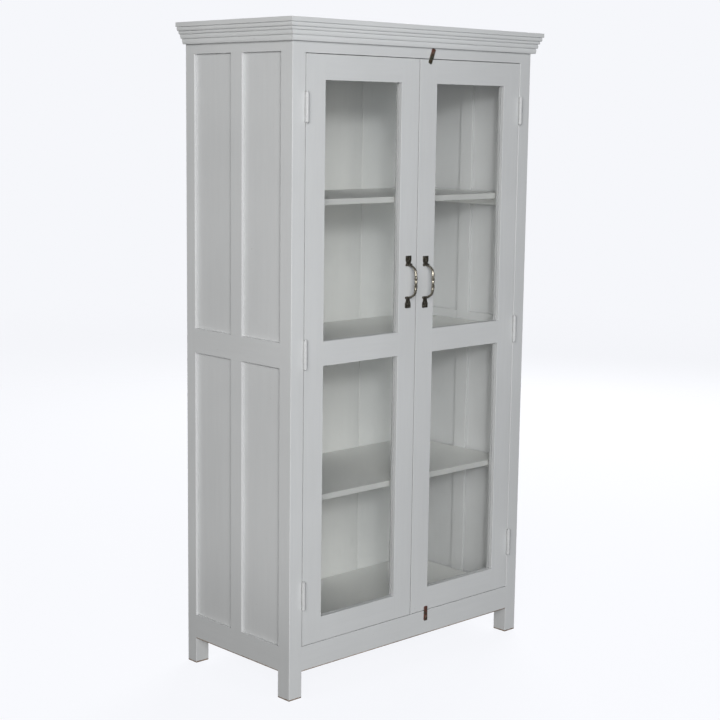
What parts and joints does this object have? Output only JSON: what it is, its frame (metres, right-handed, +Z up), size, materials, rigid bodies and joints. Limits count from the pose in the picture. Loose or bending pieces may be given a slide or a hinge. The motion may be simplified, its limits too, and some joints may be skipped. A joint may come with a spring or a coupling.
{
  "type": "curio cabinet",
  "caption": "Tall painted wooden display cabinet with glazed double doors, panelled sides, shelves, stepped cornice, bow handles and turn buttons",
  "frame": {"origin": "on the floor, under the middle of the bounding box", "axes": "+X to the right seen from the front, +Y from the doors to the back, +Z up"},
  "size_m": [0.974, 0.4899, 1.803],
  "materials": {
    "painted_wood": "satin off-white paint, lightly brushed, bare wood showing on worn lower edges",
    "inside_paint": "satin off-white paint, thinner inside the cabinet",
    "painted_hinge": "steel butt hinge painted over with the cabinet",
    "aged_brass": "aged brass, dark in the hollows, rubbed bright on the grip",
    "dark_brass": "dark brown tarnished brass",
    "glass": "clear window glass"
  },
  "bodies": {
    "cabinet": {"rail_front_top": "painted_wood", "rail_front_bottom": "painted_wood", "top_board": "painted_wood", "cornice_front": "painted_wood", "cornice_left": "painted_wood", "cornice_right": "painted_wood", "post_front_left": "painted_wood", "post_back_left": "painted_wood", "rail_left_top": "painted_wood", "rail_left_middle": "painted_wood", "rail_left_bottom": "painted_wood", "muntin_left": "painted_wood", "panel_left_upper_front": "painted_wood", "panel_left_upper_back": "painted_wood", "cleat_upper_left": "inside_paint", "panel_left_lower_front": "painted_wood", "panel_left_lower_back": "painted_wood", "cleat_lower_left": "inside_paint", "back_board_left": "inside_paint", "hinge_left_top": "painted_hinge", "hinge_left_middle": "painted_hinge", "hinge_left_bottom": "painted_hinge", "post_front_right": "painted_wood", "post_back_right": "painted_wood", "rail_right_top": "painted_wood", "rail_right_middle": "painted_wood", "rail_right_bottom": "painted_wood", "muntin_right": "painted_wood", "panel_right_upper_front": "painted_wood", "panel_right_upper_back": "painted_wood", "cleat_upper_right": "inside_paint", "panel_right_lower_front": "painted_wood", "panel_right_lower_back": "painted_wood", "cleat_lower_right": "inside_paint", "back_board_right": "inside_paint", "hinge_right_top": "painted_hinge", "hinge_right_middle": "painted_hinge", "hinge_right_bottom": "painted_hinge", "shelf_upper": "inside_paint", "shelf_middle": "inside_paint", "shelf_lower": "inside_paint", "bottom_board": "inside_paint"},
    "left_door": {"left_door_stile_hinge": "painted_wood", "left_door_stile_meeting": "painted_wood", "left_door_rail_top": "painted_wood", "left_door_rail_middle": "painted_wood", "left_door_rail_bottom": "painted_wood", "left_door_glass_upper": "glass", "left_door_glass_lower": "glass", "handle_left": "aged_brass"},
    "right_door": {"right_door_stile_hinge": "painted_wood", "right_door_stile_meeting": "painted_wood", "right_door_rail_top": "painted_wood", "right_door_rail_middle": "painted_wood", "right_door_rail_bottom": "painted_wood", "right_door_glass_upper": "glass", "right_door_glass_lower": "glass", "handle_right": "aged_brass"},
    "top_turn_button": {"turn_button_top": "dark_brass"},
    "bottom_turn_button": {"turn_button_bottom": "dark_brass"}
  },
  "joints": [
    {"name": "left_door_hinge", "type": "hinge", "parent": "cabinet", "child": "left_door", "pos_m": [-0.415, -0.214, 0.94], "axis": [0, 0, -1], "range_deg": [0, 170]},
    {"name": "right_door_hinge", "type": "hinge", "parent": "cabinet", "child": "right_door", "pos_m": [0.415, -0.214, 0.94], "axis": [0, 0, 1], "range_deg": [0, 170]},
    {"name": "top_button_pivot", "type": "hinge", "parent": "cabinet", "child": "top_turn_button", "pos_m": [0.0463, -0.2111, 1.7318], "axis": [0, 1, 0], "range_deg": [-120, 75]},
    {"name": "bottom_button_pivot", "type": "hinge", "parent": "cabinet", "child": "bottom_turn_button", "pos_m": [0.0605, -0.2111, 0.1267], "axis": [0, 1, 0], "range_deg": [-180, 180]}
  ]
}
